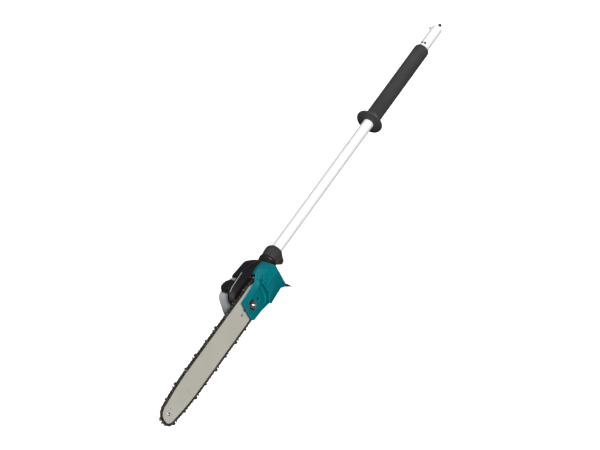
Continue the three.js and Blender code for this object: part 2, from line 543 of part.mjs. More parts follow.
function barClamp() {
  const pads = [[130, 6], [130, -14], [190, -14], [190, 6]];
  const holes = [
    rod('y', 4.3, 15, 32, [STUD_X, 0, BAR_Z], 24),
    rod('y', 3.4, 15, 32, [ADJUSTER_X, 0, TENSION_Z], 20),
    plate(slotOutline(PIN_X - BAR_TRAVEL - 1, PIN_X + 1, TENSION_Z, 2.8), 15, 32),
  ];
  put(head, 'inner_guide_plate', cut(plate(roundedOutline(pads, 3), 20.1, 21.5), ...holes), STEEL);
  put(head, 'outer_guide_plate', cut(plate(roundedOutline(pads, 3), 26.5, 27.7), ...holes), STEEL);
  const stud = join(
    rod('y', 4, PLATE_Y[0] - 3.6, 41.4, [STUD_X, 0, BAR_Z], 24),
    rod('y', 5, PLATE_Y[0] - 3.6, PLATE_Y[0] - 0.6, [STUD_X, 0, BAR_Z], 24),
  );
  put(head, 'bar_stud', stud, BRIGHT);
  put(head, 'nut_washer', ring('y', 4.4, 8.4, 33.3, 34.7, [STUD_X, 0, BAR_Z]), STEEL);
  const nut = cut(plate(hexagon(13, [STUD_X, BAR_Z]), 35, 41.2, 0.5),
    rod('y', 4.3, 30, 45, [STUD_X, 0, BAR_Z], 24));
  put(head, 'bar_nut', nut, BRIGHT);
}

function tensioner() {
  const adjuster = join(
    rod('y', 2.1, 16.6, 31, [ADJUSTER_X, 0, TENSION_Z], 20),
    lathe('y', [[0, 14], [2.4, 14], [4.2, 16], [4.2, 17.6], [0, 17.6]], [ADJUSTER_X, 0, TENSION_Z], 20),
  );
  const slot = block([ADJUSTER_X - 4, ADJUSTER_X + 4], [29.6, 32], [TENSION_Z - 0.5, TENSION_Z + 0.5]);
  put(head, 'tension_adjuster', cut(adjuster, slot), STEEL);
  const mesh = ADJUSTER_X - 4.7;
  const screw = lathe('x', [[0, 130.5], [1.7, 130.5], [1.7, mesh - 2.3], [3.4, mesh - 1.9],
    [3.4, mesh - 1.1], [2.2, mesh], [0, mesh]], [0, 16.4, TENSION_Z], 20);
  put(head, 'tension_screw', screw, STEEL);
  const nutBlock = cut(
    join(block([PIN_X - 2.8, PIN_X + 2.8], [13.4, 19.4], [TENSION_Z - 3.6, TENSION_Z + 3.6]),
      rod('y', 2.1, 19, 26, [PIN_X, 0, TENSION_Z], 16)),
    rod('x', 2.05, 120, 150, [0, 16.4, TENSION_Z], 20),
  );
  put(head, 'tension_pin', nutBlock, STEEL);
}

// ---- sprocket cover: a raised rear half over the sprocket and a lower front half over the bar ----
const REAR_TOP = [[77.5, 12], [77.5, -36.6], [138, -35], [138, 6], [126, 18], [118, 20.4], [102, 21.6],
  [86, 19.6]];
const FRONT_RIM = [[118, -36], [118, 27.5], [126, 25.6], [135, 19.4], [135, -35.5]];
const FRONT_LOW = [[118, -36], [118, 16], [135, 12], [135, -35.5]];
const NOSE_RIM = [[134, -35.5], [134, 19.6], [147, 17.4], [190, 15.4], [191.4, 12], [191.4, -27],
  [188, -29.8]];
const NOSE_LOW = [[134, -35.5], [134, 12], [150, 8.6], [189, 8.4], [192.6, 6], [192.6, -26],
  [189, -28.8]];
const CORNER_RIM = [[168, 4], [168, 16.2], [189, 15.6], [191.4, 12], [191.4, -8]];
const CORNER_LOW = [[172, 2], [172, 8.4], [189.6, 14.6], [192.6, 11.6], [192.6, -8]];
const STEP = [[110, 27], [128.5, 11], [127.4, -15], [137, -25], [150, -25], [150, 27]];
const L_RECESS = [[131, 6], [135.6, -19], [140.6, -23.6], [148, -23.6], [147, -18.6], [141.6, -17.4],
  [138.4, 6]];
const UNDERSIDE = [[86, -50], [86, -36.8], [94, -31.4], [134, -34.4], [160, -30.2], [200, -28.4], [200, -50]];
const GROOVES = { x: [81, 123], z: [16.4, 11.6, 6.8, 2], width: 1.1, depth: 0.8 };

function sprocketCover() {
  const outer = join(
    plate(outline(SKIRT), SKIRT_Y, SHOULDER_Y),
    loft(SKIRT, SHOULDER_Y, REAR_TOP, COVER_TOP),
    loft(FRONT_RIM, COVER_RIM, FRONT_LOW, COVER_LOW),
    loft(NOSE_RIM, COVER_RIM, NOSE_LOW, COVER_LOW),
    loft(CORNER_RIM, COVER_RIM, CORNER_LOW, COVER_LOW),
  );
  const hollow = join(
    plate(outline(inset(SKIRT, COVER_WALL)), SKIRT_Y - 1, SHOULDER_Y),
    loft(inset(SKIRT, COVER_WALL), SHOULDER_Y, inset(REAR_TOP, COVER_WALL), COVER_TOP - COVER_WALL - 1),
    loft(inset(NOSE_RIM, COVER_WALL), COVER_RIM - 1, inset(NOSE_LOW, COVER_WALL), COVER_LOW - COVER_WALL),
    block([121, 142], [10, COVER_RIM], [-50, 50]),
    block([118, 140], [COVER_RIM - 1, COVER_LOW - COVER_WALL], [-31, 9]),
  );
  const step = plate(outline(STEP), COVER_LOW, COVER_TOP + 1);
  const stepRoof = block([118, 141], [COVER_LOW - COVER_WALL, COVER_LOW], [-31, 12]);
  const body = join(cut(outer, hollow, step), stepRoof);
  const boss = rod('y', 13, COVER_RIM - 1, COVER_LOW, [STUD_X, 0, BAR_Z], 28);
  const recess = rod('y', 10.6, 33, COVER_LOW + 1, [STUD_X, 0, BAR_Z], 28);
  const studHole = rod('y', 4.4, 20, 40, [STUD_X, 0, BAR_Z], 24);
  const adjusterHole = rod('y', 3.5, 20, 42, [ADJUSTER_X, 0, TENSION_Z], 20);
  const recessed = plate(outline(L_RECESS), COVER_LOW - 0.8, COVER_LOW + 1);
  const grooves = GROOVES.z.map((z) => block(GROOVES.x, [COVER_TOP - GROOVES.depth, COVER_TOP + 1],
    [z - GROOVES.width / 2, z + GROOVES.width / 2]));
  const underside = plate(outline(UNDERSIDE), 10, COVER_TOP + 1);
  put(head, 'sprocket_cover', cut(join(body, boss), recess, studHole, adjusterHole, recessed, ...grooves,
    underside, CHIP_EXIT), TEAL);
}

// ---- branch hook ----
const HOOK = [[HOOK_ROOT_X[0], HOOK_ROOT_Z], [HOOK_ROOT_X[1], HOOK_ROOT_Z], [HOOK_ROOT_X[1], -35], [94, -41],
  [76, -48], [58, -60], [35, -80], [47, -61], [60, -46], [76, -35], [HOOK_ROOT_X[0], -31]];

function branchHook() {
  const hole = rod('y', 2, 5, 12, [HOOK_SCREW[0], 0, HOOK_SCREW[1]], 16);
  put(head, 'branch_hook', cut(plate(outline(HOOK), ...HOOK_Y), hole), DARK_STEEL);
  const screw = join(
    rod('y', 1.6, 3, HOOK_Y[1] + 1, [HOOK_SCREW[0], 0, HOOK_SCREW[1]], 16),
    rod('y', 3.4, HOOK_Y[1] + 0.1, WALL_Y - 0.1, [HOOK_SCREW[0], 0, HOOK_SCREW[1]], 18),
  );
  put(head, 'hook_screw', screw, STEEL);
}

tube();
driveShaft();
gripAndGuard();
neckClamp();
gearCase();
bevelDrive();
oilPump();
oilTank();
chainHousing();
guideBar();
sawChain();
barClamp();
tensioner();
sprocketCover();
branchHook();

export default model;
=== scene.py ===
# Looks for the pole saw attachment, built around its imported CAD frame.
# Shapes are drawn in millimetres and turned into metres when a mesh is made. The saw head's own X
# starts where the tube enters it, as in the CAD.
import json
import math

import bmesh
import bpy
from mathutils import Matrix, Vector

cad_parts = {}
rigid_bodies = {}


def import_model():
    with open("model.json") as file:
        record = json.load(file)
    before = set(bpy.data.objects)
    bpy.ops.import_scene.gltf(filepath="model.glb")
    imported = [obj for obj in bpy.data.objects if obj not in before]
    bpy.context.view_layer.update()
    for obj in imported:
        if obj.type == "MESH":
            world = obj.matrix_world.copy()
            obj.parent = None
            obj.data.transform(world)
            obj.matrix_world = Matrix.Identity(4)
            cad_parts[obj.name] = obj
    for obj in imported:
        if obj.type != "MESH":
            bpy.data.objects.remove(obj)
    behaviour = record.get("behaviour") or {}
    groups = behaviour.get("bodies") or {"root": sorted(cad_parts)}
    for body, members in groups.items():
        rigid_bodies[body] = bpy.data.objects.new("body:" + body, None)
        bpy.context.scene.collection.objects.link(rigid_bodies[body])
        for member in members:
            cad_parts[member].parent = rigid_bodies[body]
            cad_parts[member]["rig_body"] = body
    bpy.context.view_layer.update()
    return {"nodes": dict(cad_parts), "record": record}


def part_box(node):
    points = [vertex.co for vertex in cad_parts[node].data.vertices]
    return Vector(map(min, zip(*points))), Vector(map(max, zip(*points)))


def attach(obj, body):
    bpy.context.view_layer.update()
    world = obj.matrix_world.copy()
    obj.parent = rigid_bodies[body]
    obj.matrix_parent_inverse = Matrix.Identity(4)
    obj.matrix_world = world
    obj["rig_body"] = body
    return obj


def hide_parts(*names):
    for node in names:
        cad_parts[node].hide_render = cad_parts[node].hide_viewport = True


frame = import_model()

MM = 0.001
TAU = 2 * math.pi
NODES = frame["nodes"]
SLOT_OF = {part["node"]: part["material_slot"] for part in frame["record"]["subparts"]}


def extent(node):
    """The lowest and highest corners of a CAD node, in millimetres."""
    low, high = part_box(node)
    return low / MM, high / MM


def middle(node):
    low, high = extent(node)
    return (low + high) / 2


# ---- camera ----
CAMERA_PLACE = (3.8448, 3.3859, 2.6741)
CAMERA_BACK = (0.59845, 0.62766, 0.4979)
CAMERA_RIGHT = (-0.47123, 0.77838, -0.41484)
LENS = 165.8
SENSOR = 36

# ---- driving dimensions ----
NECK_X = 686
TUBE_R = extent("outer_tube")[1].z
TUBE_BORE = 9.5
LOCK_HOLE_X = 60
LOCK_HOLE_R = 2.9
LOCK_HOLE_ANGLES = (-36, 2)
GRIP_RIBS = 20
RIB_DEPTH = 1.0

BAR_Y = middle("guide_bar").y
BAR_Z = middle("guide_bar").z
BAR_HALF = 23.5
BAR_TAIL = extent("guide_bar")[0].x
BAR_CHEEK = 1.3
TAIL_TAPER_END = NECK_X + 150
TAPER_START = NECK_X + 380
TAPER_STEPS = 20
NOSE_TURN = 0.146                # angle at which the straight edge meets the nose, in radians
NOSE_X = middle("nose_hub").x
NOSE_R = 16.7
OIL_HOLE_X = NECK_X + 199.5
BAR_STUD_SLOT = (NECK_X + 147, NECK_X + 188, 4.4)

SPINDLE_X = middle("spindle").x
SPROCKET_WRAP = 16
CHAIN_BACK = TAIL_TAPER_END - 5
RIVET_LINE = 3.3                 # height of the chain's rivets above the edge of the bar
RIVET_SPAN = 9.525
STRAP_INNER = 0.72
STRAP_OUTER = 1.9
CUTTER_REPEAT = 8                # rivets from one cutter to the next on the same side


# ---- camera and light ----
def look_along(obj, place, back, right):
    """Turns obj so that its -Z looks against back and its +X is right."""
    back = Vector(back).normalized()
    right = (Vector(right) - back * Vector(right).dot(back)).normalized()
    up = back.cross(right)
    turn = Matrix((right, up, back)).transposed().to_4x4()
    obj.matrix_world = Matrix.Translation(place) @ turn


def make_camera():
    data = bpy.data.cameras.new("camera")
    data.sensor_width = SENSOR
    data.lens = LENS
    data.clip_end = 50
    camera = bpy.data.objects.new("camera", data)
    bpy.context.scene.collection.objects.link(camera)
    look_along(camera, CAMERA_PLACE, CAMERA_BACK, CAMERA_RIGHT)
    bpy.context.scene.camera = camera


def make_light(name, kind, place, target, power, size):
    data = bpy.data.lights.new(name, kind)
    data.energy = power
    if kind == "SUN":
        data.angle = size
    else:
        data.shape = "DISK"
        data.size = size
    light = bpy.data.objects.new(name, data)
    bpy.context.scene.collection.objects.link(light)
    back = Vector(place) - Vector(target)
    look_along(light, place, back, back.cross(Vector((0.3, 0.2, 0.9))))


def make_world():
    """A studio that is dark straight down, brightest just below the horizon and pale overhead."""
    world = bpy.data.worlds.new("studio")
    world.use_nodes = True
    tree = world.node_tree
    background = tree.nodes["Background"]
    place = tree.nodes.new("ShaderNodeTexCoord")
    split = tree.nodes.new("ShaderNodeSeparateXYZ")
    height = tree.nodes.new("ShaderNodeMapRange")
    height.inputs["From Min"].default_value = -1
    ramp = tree.nodes.new("ShaderNodeValToRGB")
    stops = ((0.0, 0.1), (0.2, 0.25), (0.38, 0.7), (0.5, 0.5), (0.62, 0.3), (0.74, 0.6), (1.0, 0.6))
    for _ in range(len(stops) - 2):
        ramp.color_ramp.elements.new(0.5)
    for element, (position, level) in zip(ramp.color_ramp.elements, stops):
        element.position = position
        element.color = (level, level, level, 1)
    tree.links.new(place.outputs["Generated"], split.inputs[0])
    tree.links.new(split.outputs["Z"], height.inputs["Value"])
    tree.links.new(height.outputs["Result"], ramp.inputs[0])
    tree.links.new(ramp.outputs["Color"], background.inputs["Color"])
    background.inputs["Strength"].default_value = 0.27
    bpy.context.scene.world = world


def make_floor():
    """A large pale floor far below the saw. It isn't seen in reflections and bounces no light."""
    mesh = bpy.data.meshes.new("floor")
    reach = 14
    depth = -0.5
    corners = [(x * reach, y * reach, depth) for x, y in ((-1, -1), (1, -1), (1, 1), (-1, 1))]
    mesh.from_pydata(corners, [], [(0, 1, 2, 3)])
    floor = bpy.data.objects.new("floor", mesh)
    bpy.context.scene.collection.objects.link(floor)
    floor.visible_glossy = False
    floor.visible_diffuse = False
    paper = bpy.data.materials.new("paper")
    paper.use_nodes = True
    shader = paper.node_tree.nodes["Principled BSDF"]
    shader.inputs["Base Color"].default_value = (1, 1, 1, 1)
    shader.inputs["Roughness"].default_value = 1
    shader.inputs["Emission Color"].default_value = (1, 1, 1, 1)
    shader.inputs["Emission Strength"].default_value = 0.5
    floor.data.materials.append(paper)


# ---- materials ----
class Nodes:
    """A material's node tree, with the few kinds of step that the looks below are made of."""

    def __init__(self, name):
        self.material = bpy.data.materials.new(name)
        self.material.use_nodes = True
        self.tree = self.material.node_tree
        self.shader = self.tree.nodes["Principled BSDF"]
        self.place = self.tree.nodes.new("ShaderNodeTexCoord").outputs["Object"]

    def add(self, kind, links=(), **values):
        node = self.tree.nodes.new(kind)
        for key, value in values.items():
            node.inputs[key.replace("_", " ")].default_value = value
        for key, source in links:
            self.tree.links.new(source, node.inputs[key])
        return node

    def noise(self, scale, detail=4, stretch=(1, 1, 1)):
        """Noise whose grain is 1 / scale metres across, pulled out along the axes of stretch."""
        spread = self.add("ShaderNodeMapping", [("Vector", self.place)])
        spread.inputs["Scale"].default_value = [scale / s for s in stretch]
        grain = self.add("ShaderNodeTexNoise", [("Vector", spread.outputs[0])], Scale=1, Detail=detail)
        return grain.outputs["Fac"]

    def spread(self, source, low, high, start=0.35, end=0.65):
        """source between start and end, mapped to low and high."""
        node = self.add("ShaderNodeMapRange", [("Value", source)])
        for key, value in (("From Min", start), ("From Max", end), ("To Min", low), ("To Max", high)):
            node.inputs[key].default_value = value
        return node.outputs["Result"]

    def mix(self, share, first, second):
        node = self.tree.nodes.new("ShaderNodeMix")
        node.data_type = "RGBA"
        self.tree.links.new(share, node.inputs["Factor"])
        for socket, value in ((node.inputs[6], first), (node.inputs[7], second)):
            if isinstance(value, tuple):
                socket.default_value = (*value, 1)
            else:
                self.tree.links.new(value, socket)
        return node.outputs[2]

    def edges(self, reach=0.0008):
        """1 on edges, convex and hollow alike, broken up by noise, and 0 on flat faces. The plastics brighten
        these edges as a painted highlight; the metals brighten them and the guide bar darkens them.
        """
        rounded = self.add("ShaderNodeBevel", Radius=reach).outputs[0]
        flat = self.add("ShaderNodeNewGeometry").outputs["Normal"]
        turn = self.add("ShaderNodeVectorMath", [(0, rounded), (1, flat)])
        turn.operation = "DOT_PRODUCT"
        sharp = self.spread(turn.outputs["Value"], 1, 0, 0.8, 1.0)
        patchy = self.add("ShaderNodeMath", [(0, sharp), (1, self.spread(self.noise(300), 0.3, 1))])
        patchy.operation = "MULTIPLY"
        return patchy.outputs[0]

    def bump(self, height, strength, distance):
        node = self.add("ShaderNodeBump", [("Height", height)], Strength=strength, Distance=distance)
        self.tree.links.new(node.outputs[0], self.shader.inputs["Normal"])

    def set(self, **values):
        for key, value in values.items():
            socket = self.shader.inputs[key.replace("_", " ")]
            if isinstance(value, (int, float)):
                socket.default_value = value
            else:
                self.tree.links.new(value, socket)


def shade(colour, factor):
    return tuple(min(1.0, c * factor) for c in colour)


def metal(name, colour, roughness, lines=(1, 1, 1), scale=900, tarnish=0.12, metallic=1.0):
    """Metal with tool marks pulled out along lines, a slow change of tone and brighter edges."""
    nodes = Nodes(name)
    marks = nodes.noise(scale, 5, lines)
    tone = nodes.noise(60, 3)
    base = nodes.mix(nodes.spread(tone, 0, 1), shade(colour, 1 - tarnish), colour)
    edge_tone = nodes.mix(nodes.edges(), base, shade(colour, 1.3))
    nodes.set(Base_Color=edge_tone, Metallic=metallic,
              Roughness=nodes.spread(marks, roughness * 0.75, roughness * 1.3))
    nodes.bump(marks, 0.25, 0.00006)
    return nodes.material


def plastic(name, colour, roughness, grain=1600, depth=0.00005, edge_tone=1.35, sheen=0.35, edge=0.001):
    """Moulded plastic: a fine eroded grain, faint flow marks and a painted highlight that brightens its
    edges.
    """
    nodes = Nodes(name)
    pits = nodes.noise(grain, 3)
    flow = nodes.noise(45, 3, (3, 1, 1))
    base = nodes.mix(nodes.spread(flow, 0, 1), shade(colour, 0.9), shade(colour, 1.08))
    # Painted highlight: the edges are mixed towards a brighter copy of the colour.
    edge_highlit = nodes.mix(nodes.edges(edge), base, shade(colour, edge_tone))
    nodes.set(Base_Color=edge_highlit, Roughness=nodes.spread(pits, roughness * 0.85, roughness * 1.2),
              Specular_IOR_Level=sheen)
    nodes.bump(pits, 0.5, depth)
    return nodes.material


def painted_bar():
    """Warm grey paint on the guide bar, with faint rolling lines and darker edges."""
    nodes = Nodes("bar_steel")
    lines = nodes.noise(900, 4, (30, 1, 1))
    cloud = nodes.noise(14, 2)
    base = nodes.mix(nodes.spread(cloud, 0, 1), (0.43, 0.415, 0.36), (0.46, 0.445, 0.39))
    fine = nodes.mix(nodes.spread(lines, 0, 0.25), base, (0.5, 0.485, 0.43))
    edge_tone = nodes.mix(nodes.edges(0.0005), fine, (0.36, 0.35, 0.33))
    nodes.set(Base_Color=edge_tone, Metallic=0.15, Roughness=nodes.spread(lines, 0.42, 0.52))
    nodes.bump(lines, 0.15, 0.00002)
    return nodes.material


def felt_look():
    nodes = Nodes("felt")
    fibres = nodes.noise(2600, 6, (3, 1, 1))
    nodes.set(Base_Color=nodes.mix(nodes.spread(fibres, 0, 1), (0.45, 0.41, 0.32), (0.68, 0.64, 0.53)),
              Roughness=0.95, Sheen_Weight=0.4)
    nodes.bump(fibres, 0.8, 0.0002)
    return nodes.material


LOOKS = {
    "tube": metal("tube", (0.97, 0.97, 0.97), 0.24, (90, 1, 1), 1500, 0.02, 0.22),
    "steel": metal("steel", (0.5, 0.5, 0.49), 0.34, (1, 6, 1)),
    "dark_steel": metal("dark_steel", (0.06, 0.054, 0.046), 0.42, metallic=0.6, tarnish=0.4),
    "bar_steel": painted_bar(),
    "bright_steel": metal("bright_steel", (0.9, 0.9, 0.9), 0.22, tarnish=0.06),
    "brass": metal("brass", (0.66, 0.46, 0.18), 0.3, (1, 1, 6)),
    "pump_alloy": metal("pump_alloy", (0.6, 0.61, 0.62), 0.5, scale=1300),
    # The plastics brighten their edges as a painted highlight, most of all the teal cover and the black
    # parts.
    "black_plastic": plastic("black_plastic", (0.008, 0.0072, 0.0082), 0.4, edge_tone=4.0, sheen=0.25),
    "collar_plastic": plastic("collar_plastic", (0.034, 0.031, 0.029), 0.5, grain=1300, edge_tone=1.8, sheen=0.25),
    "grip_rubber": plastic("grip_rubber", (0.036, 0.036, 0.035), 0.46, grain=2100, edge_tone=1.6, sheen=0.3),
    "cover_teal": plastic("cover_teal", (0.0, 0.112, 0.132), 0.36, grain=1900, depth=0.00003, edge_tone=3.4,
                          sheen=0.16, edge=0.0018),
    "tank_grey": plastic("tank_grey", (0.38, 0.4, 0.41), 0.36, grain=1500, edge_tone=1.15),
    "oil_rubber": plastic("oil_rubber", (0.02, 0.02, 0.02), 0.7, grain=1200),
    "felt": felt_look(),
    "oiled_cutters": metal("oiled_cutters", (0.4, 0.37, 0.31), 0.3, tarnish=0.5),
    "bronzed_rivets": metal("bronzed_rivets", (0.3, 0.24, 0.17), 0.35, tarnish=0.4),
}


# ---- from drawing to object ----
def smooth(mesh, angle=32):
    mesh.polygons.foreach_set("use_smooth", [True] * len(mesh.polygons))
    mesh.set_sharp_from_angle(angle=math.radians(angle))


def applied(obj, kind, **settings):
    """The mesh that obj has with one more modifier."""
    modifier = obj.modifiers.new(kind.lower(), kind)
    for key, value in settings.items():
        setattr(modifier, key, value)
    graph = bpy.context.evaluated_depsgraph_get()
    mesh = bpy.data.meshes.new_from_object(obj.evaluated_get(graph))
    obj.modifiers.clear()
    return mesh


def round_edges(obj, width, segments=2, angle=30):
    obj.data = applied(obj, "BEVEL", width=width * MM, segments=segments, limit_method="ANGLE",
                       angle_limit=math.radians(angle), use_clamp_overlap=True)


def cut_away(obj, tool):
    obj.data = applied(obj, "BOOLEAN", object=tool, operation="DIFFERENCE", solver="EXACT")
    bpy.data.objects.remove(tool)


def make_object(name, bm):
    """An object from a bmesh drawn in millimetres."""
    bmesh.ops.remove_doubles(bm, verts=bm.verts, dist=1e-4)
    bmesh.ops.recalc_face_normals(bm, faces=bm.faces)
    bmesh.ops.scale(bm, vec=(MM, MM, MM), verts=bm.verts)
    mesh = bpy.data.meshes.new(name)
    bm.to_mesh(mesh)
    bm.free()
    smooth(mesh)
    obj = bpy.data.objects.new(name, mesh)
    bpy.context.scene.collection.objects.link(obj)
    return obj


def detail(obj, node, slot, look=None):
    """obj is a feature of its own that moves with a CAD node."""
    obj.data.materials.clear()
    obj.data.materials.append(LOOKS[look or slot])
    smooth(obj.data)
    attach(obj, NODES[node]["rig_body"])


def stand_in(obj, node, look=None):
    """obj moves and is finished as the CAD node that it replaces."""
    detail(obj, node, SLOT_OF[node], look)
    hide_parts(node)


AXES = {
    "x": lambda along, a, b: (along, a, b),
    "y": lambda along, a, b: (b, along, a),
    "z": lambda along, a, b: (a, b, along),
}


def rings(bm, axis, centre, sections, segments=96, closed=False):
    """A skin over round sections: each is (along, radius), where radius may depend on the angle."""
    rows = []
    for along, radius in sections:
        row = []
        for i in range(segments):
            angle = TAU * i / segments
            reach = radius(angle) if callable(radius) else radius
            place = AXES[axis](along, reach * math.cos(angle), reach * math.sin(angle))
            row.append(bm.verts.new(Vector(place) + Vector(centre)))
        rows.append(row)
    if closed:
        rows.append(rows[0])
    for row, following in zip(rows, rows[1:]):
        for i in range(segments):
            j = (i + 1) % segments
            bm.faces.new((row[i], row[j], following[j], following[i]))
    return rows


def turned(name, axis, profile, centre=(0, 0, 0), segments=96):
    """A solid of revolution from (radius, along) points, which start and end on its axis or meet."""
    bm = bmesh.new()
    closed = profile[0][0] > 0
    sections = [(along, max(radius, 1e-3)) for radius, along in profile]
    rows = rings(bm, axis, centre, sections, segments, closed)
    if not closed:
        bm.faces.new(rows[0])
        bm.faces.new(list(reversed(rows[-1])))
    return make_object(name, bm)


def prism(bm, outline, low, high, place=lambda a, b, c: (a, c, b)):
    """A straight-sided body over an outline of (a, b), from low to high along c."""
    base = [bm.verts.new(place(a, b, low)) for a, b in outline]
    top = [bm.verts.new(place(a, b, high)) for a, b in outline]
    bm.faces.new(base)
    bm.faces.new(list(reversed(top)))
    count = len(outline)
    for i in range(count):
        j = (i + 1) % count
        bm.faces.new((base[i], top[i], top[j], base[j]))


def circle(centre, radius, count=48):
    return [(centre[0] + radius * math.cos(TAU * i / count), centre[1] + radius * math.sin(TAU * i / count))
            for i in range(count)]


def add_spline(curve, kind, places):
    """A spline through places in millimetres."""
    spline = curve.splines.new(kind)
    spline.points.add(len(places) - 1)
    for point, place in zip(spline.points, places):
        point.co = (*(c * MM for c in place), 1)
    return spline


def from_curve(name, curve):
    """The mesh that a curve makes, as an object."""
    holder = bpy.data.objects.new(name, curve)
    bpy.context.scene.collection.objects.link(holder)
    graph = bpy.context.evaluated_depsgraph_get()
    mesh = bpy.data.meshes.new_from_object(holder.evaluated_get(graph))
    bpy.data.objects.remove(holder)
    obj = bpy.data.objects.new(name, mesh)
    bpy.context.scene.collection.objects.link(obj)
    return obj


def sheet_metal(name, outlines, low, high, edge):
    """A plate in the XZ plane between two heights along Y. The outlines after the first are holes."""
    curve = bpy.data.curves.new(name, "CURVE")
    curve.dimensions = "2D"
    curve.fill_mode = "BOTH"
    curve.extrude = ((high - low) / 2 - edge) * MM
    curve.bevel_depth = edge * MM
    curve.bevel_resolution = 1
    curve.offset = -edge * MM
    for outline in outlines:
        spline = add_spline(curve, "POLY", [(x, z, 0) for x, z in outline])
        spline.use_cyclic_u = True
    obj = from_curve(name, curve)
    lift = Matrix.Translation((0, (low + high) / 2 * MM, 0))
    obj.data.transform(lift @ Matrix.Rotation(math.pi / 2, 4, "X"))
    return obj


def refined(node, name, width):
    """Stands in for a CAD node with its facets joined into faces and its edges rounded."""
    bm = bmesh.new()
    bm.from_mesh(NODES[node].data)
    bmesh.ops.scale(bm, vec=(1 / MM, 1 / MM, 1 / MM), verts=bm.verts)
    bmesh.ops.remove_doubles(bm, verts=bm.verts, dist=1e-3)
    bmesh.ops.dissolve_limit(bm, angle_limit=math.radians(0.8), verts=bm.verts, edges=bm.edges)
    obj = make_object(name, bm)
    round_edges(obj, width)
    stand_in(obj, node)


# ---- tube, grip and guard ----
def make_tube():
    low, high = extent("outer_tube")
    lip = 0.5
    tube = turned("tube", "x", [
        (TUBE_BORE, low.x + lip), (TUBE_BORE + lip, low.x), (TUBE_R - lip, low.x), (TUBE_R, low.x + lip),
        (TUBE_R, high.x), (TUBE_BORE, high.x),
    ], segments=128)
    for angle in LOCK_HOLE_ANGLES:
        drill = turned("drill", "z", [(0, 0), (LOCK_HOLE_R, 0), (LOCK_HOLE_R, TUBE_R + 2), (0, TUBE_R + 2)],
                       segments=40)
        drill.data.transform(Matrix.Translation((LOCK_HOLE_X * MM, 0, 0))
                             @ Matrix.Rotation(math.radians(angle), 4, "X"))
        cut_away(tube, drill)
    stand_in(tube, "outer_tube")
    # The bore and the walls of the lock holes take the dark steel look: painted shade, so the holes read
    # black.
    tube.data.materials.append(LOOKS["dark_steel"])
    for face in tube.data.polygons:
        if face.center.x > MM and math.hypot(face.center.y, face.center.z) < (TUBE_R - 0.2) * MM:
            face.material_index = 1


def make_grip():
    low, high = extent("grip_sleeve")
    outer = high.z
    inner = TUBE_R + 0.3

    def ribbed(depth):
        return lambda angle: outer - depth * (1 - abs(math.cos(angle * GRIP_RIBS / 2)) ** 1.6)

    sections = [(low.x, inner), (low.x, outer - 2.4), (low.x + 0.5, outer - 1.4)]
    sections += [(low.x + 1.8, outer - 0.5), (low.x + 4, outer), (low.x + 8, outer)]
    sections += [(low.x + 9.5, ribbed(RIB_DEPTH)), (high.x - 5.5, ribbed(RIB_DEPTH))]
    sections += [(high.x - 4, outer), (high.x - 1.2, outer), (high.x, outer - 0.8), (high.x, inner)]
    bm = bmesh.new()
    rings(bm, "x", (0, 0, 0), sections, GRIP_RIBS * 12, closed=True)
    stand_in(make_object("grip", bm), "grip_sleeve")


def make_guard():
    low, high = extent("guard_flange")
    reach = high.z
    bore = TUBE_R + 0.3
    rim = high.x - 6
    hub = [(bore, low.x), (16.2, low.x), (16.8, low.x + 1), (18, rim - 4.6), (21.5, rim - 3.6)]
    lip = [(reach - 1.2, rim - 2.4), (reach - 0.3, rim - 1.7), (reach, rim - 0.8), (reach - 0.3, rim + 0.2)]
    dish = [(reach - 1.4, rim + 1.2), (25, rim + 2.4), (22, rim + 3.5), (18.5, rim + 4.6), (15, rim + 5.6),
            (13, rim + 6), (bore, rim + 5.4)]
    stand_in(turned("guard", "x", hub + lip + dish, segments=128), "guard_flange")


def make_button():
    """The spring button is a small dome on the tube, turned to its own side of it."""
    low, high = extent("locating_button")
    centre = (low + high) / 2
    lean = math.degrees(math.atan2(-centre.y, centre.z))
    dome = [(0, 11.5), (3, 11.5), (3, 13.2), (2.7, 13.9), (2, 14.4), (1, 14.6), (0, 14.6)]
    button = turned("spring_button", "z", dome, segments=48)
    turn = Matrix.Rotation(math.radians(lean), 4, "X")
    button.data.transform(Matrix.Translation((centre.x * MM, 0, 0)) @ turn)
    stand_in(button, "locating_button")


# ---- guide bar ----
def bar_half(x):
    """Half the bar's width at x, up to its nose."""
    tail = 7 * (x - TAIL_TAPER_END) / (TAIL_TAPER_END - BAR_TAIL) if x < TAIL_TAPER_END else 0
    share = max(0.0, (x - TAPER_START) / (NOSE_X + 2.4 - TAPER_START))
    return BAR_HALF + tail - (BAR_HALF - NOSE_R + 0.2) * share * share


def bar_edge(offset, start=BAR_TAIL):
    """The bar's outline, grown by offset, from the top of its tail round the nose and back below."""
    stations = [x for x in (BAR_TAIL, TAIL_TAPER_END, TAPER_START - 115) if x >= start]
    stations += [TAPER_START + 2 + 4 * i for i in range(TAPER_STEPS)]
    upper = [(x, BAR_Z + bar_half(x) + offset) for x in stations]
    nose = []
    for i in range(49):
        angle = math.pi / 2 - NOSE_TURN - i / 48 * (math.pi - 2 * NOSE_TURN)
        reach = NOSE_R + offset
        nose.append((NOSE_X + reach * math.cos(angle), BAR_Z + reach * math.sin(angle)))
    lower = [(x, 2 * BAR_Z - z) for x, z in reversed(upper)]
    return upper + nose + lower


def stadium(x0, x1, z, radius):
    """A slot's outline between the centres of its two round ends."""
    angles = [math.pi * i / 16 for i in range(17)]
    front = [(x1 + radius * math.sin(a), z - radius * math.cos(a)) for a in angles]
    back = [(x0 - radius * math.sin(a), z + radius * math.cos(a)) for a in angles]
    return front + back


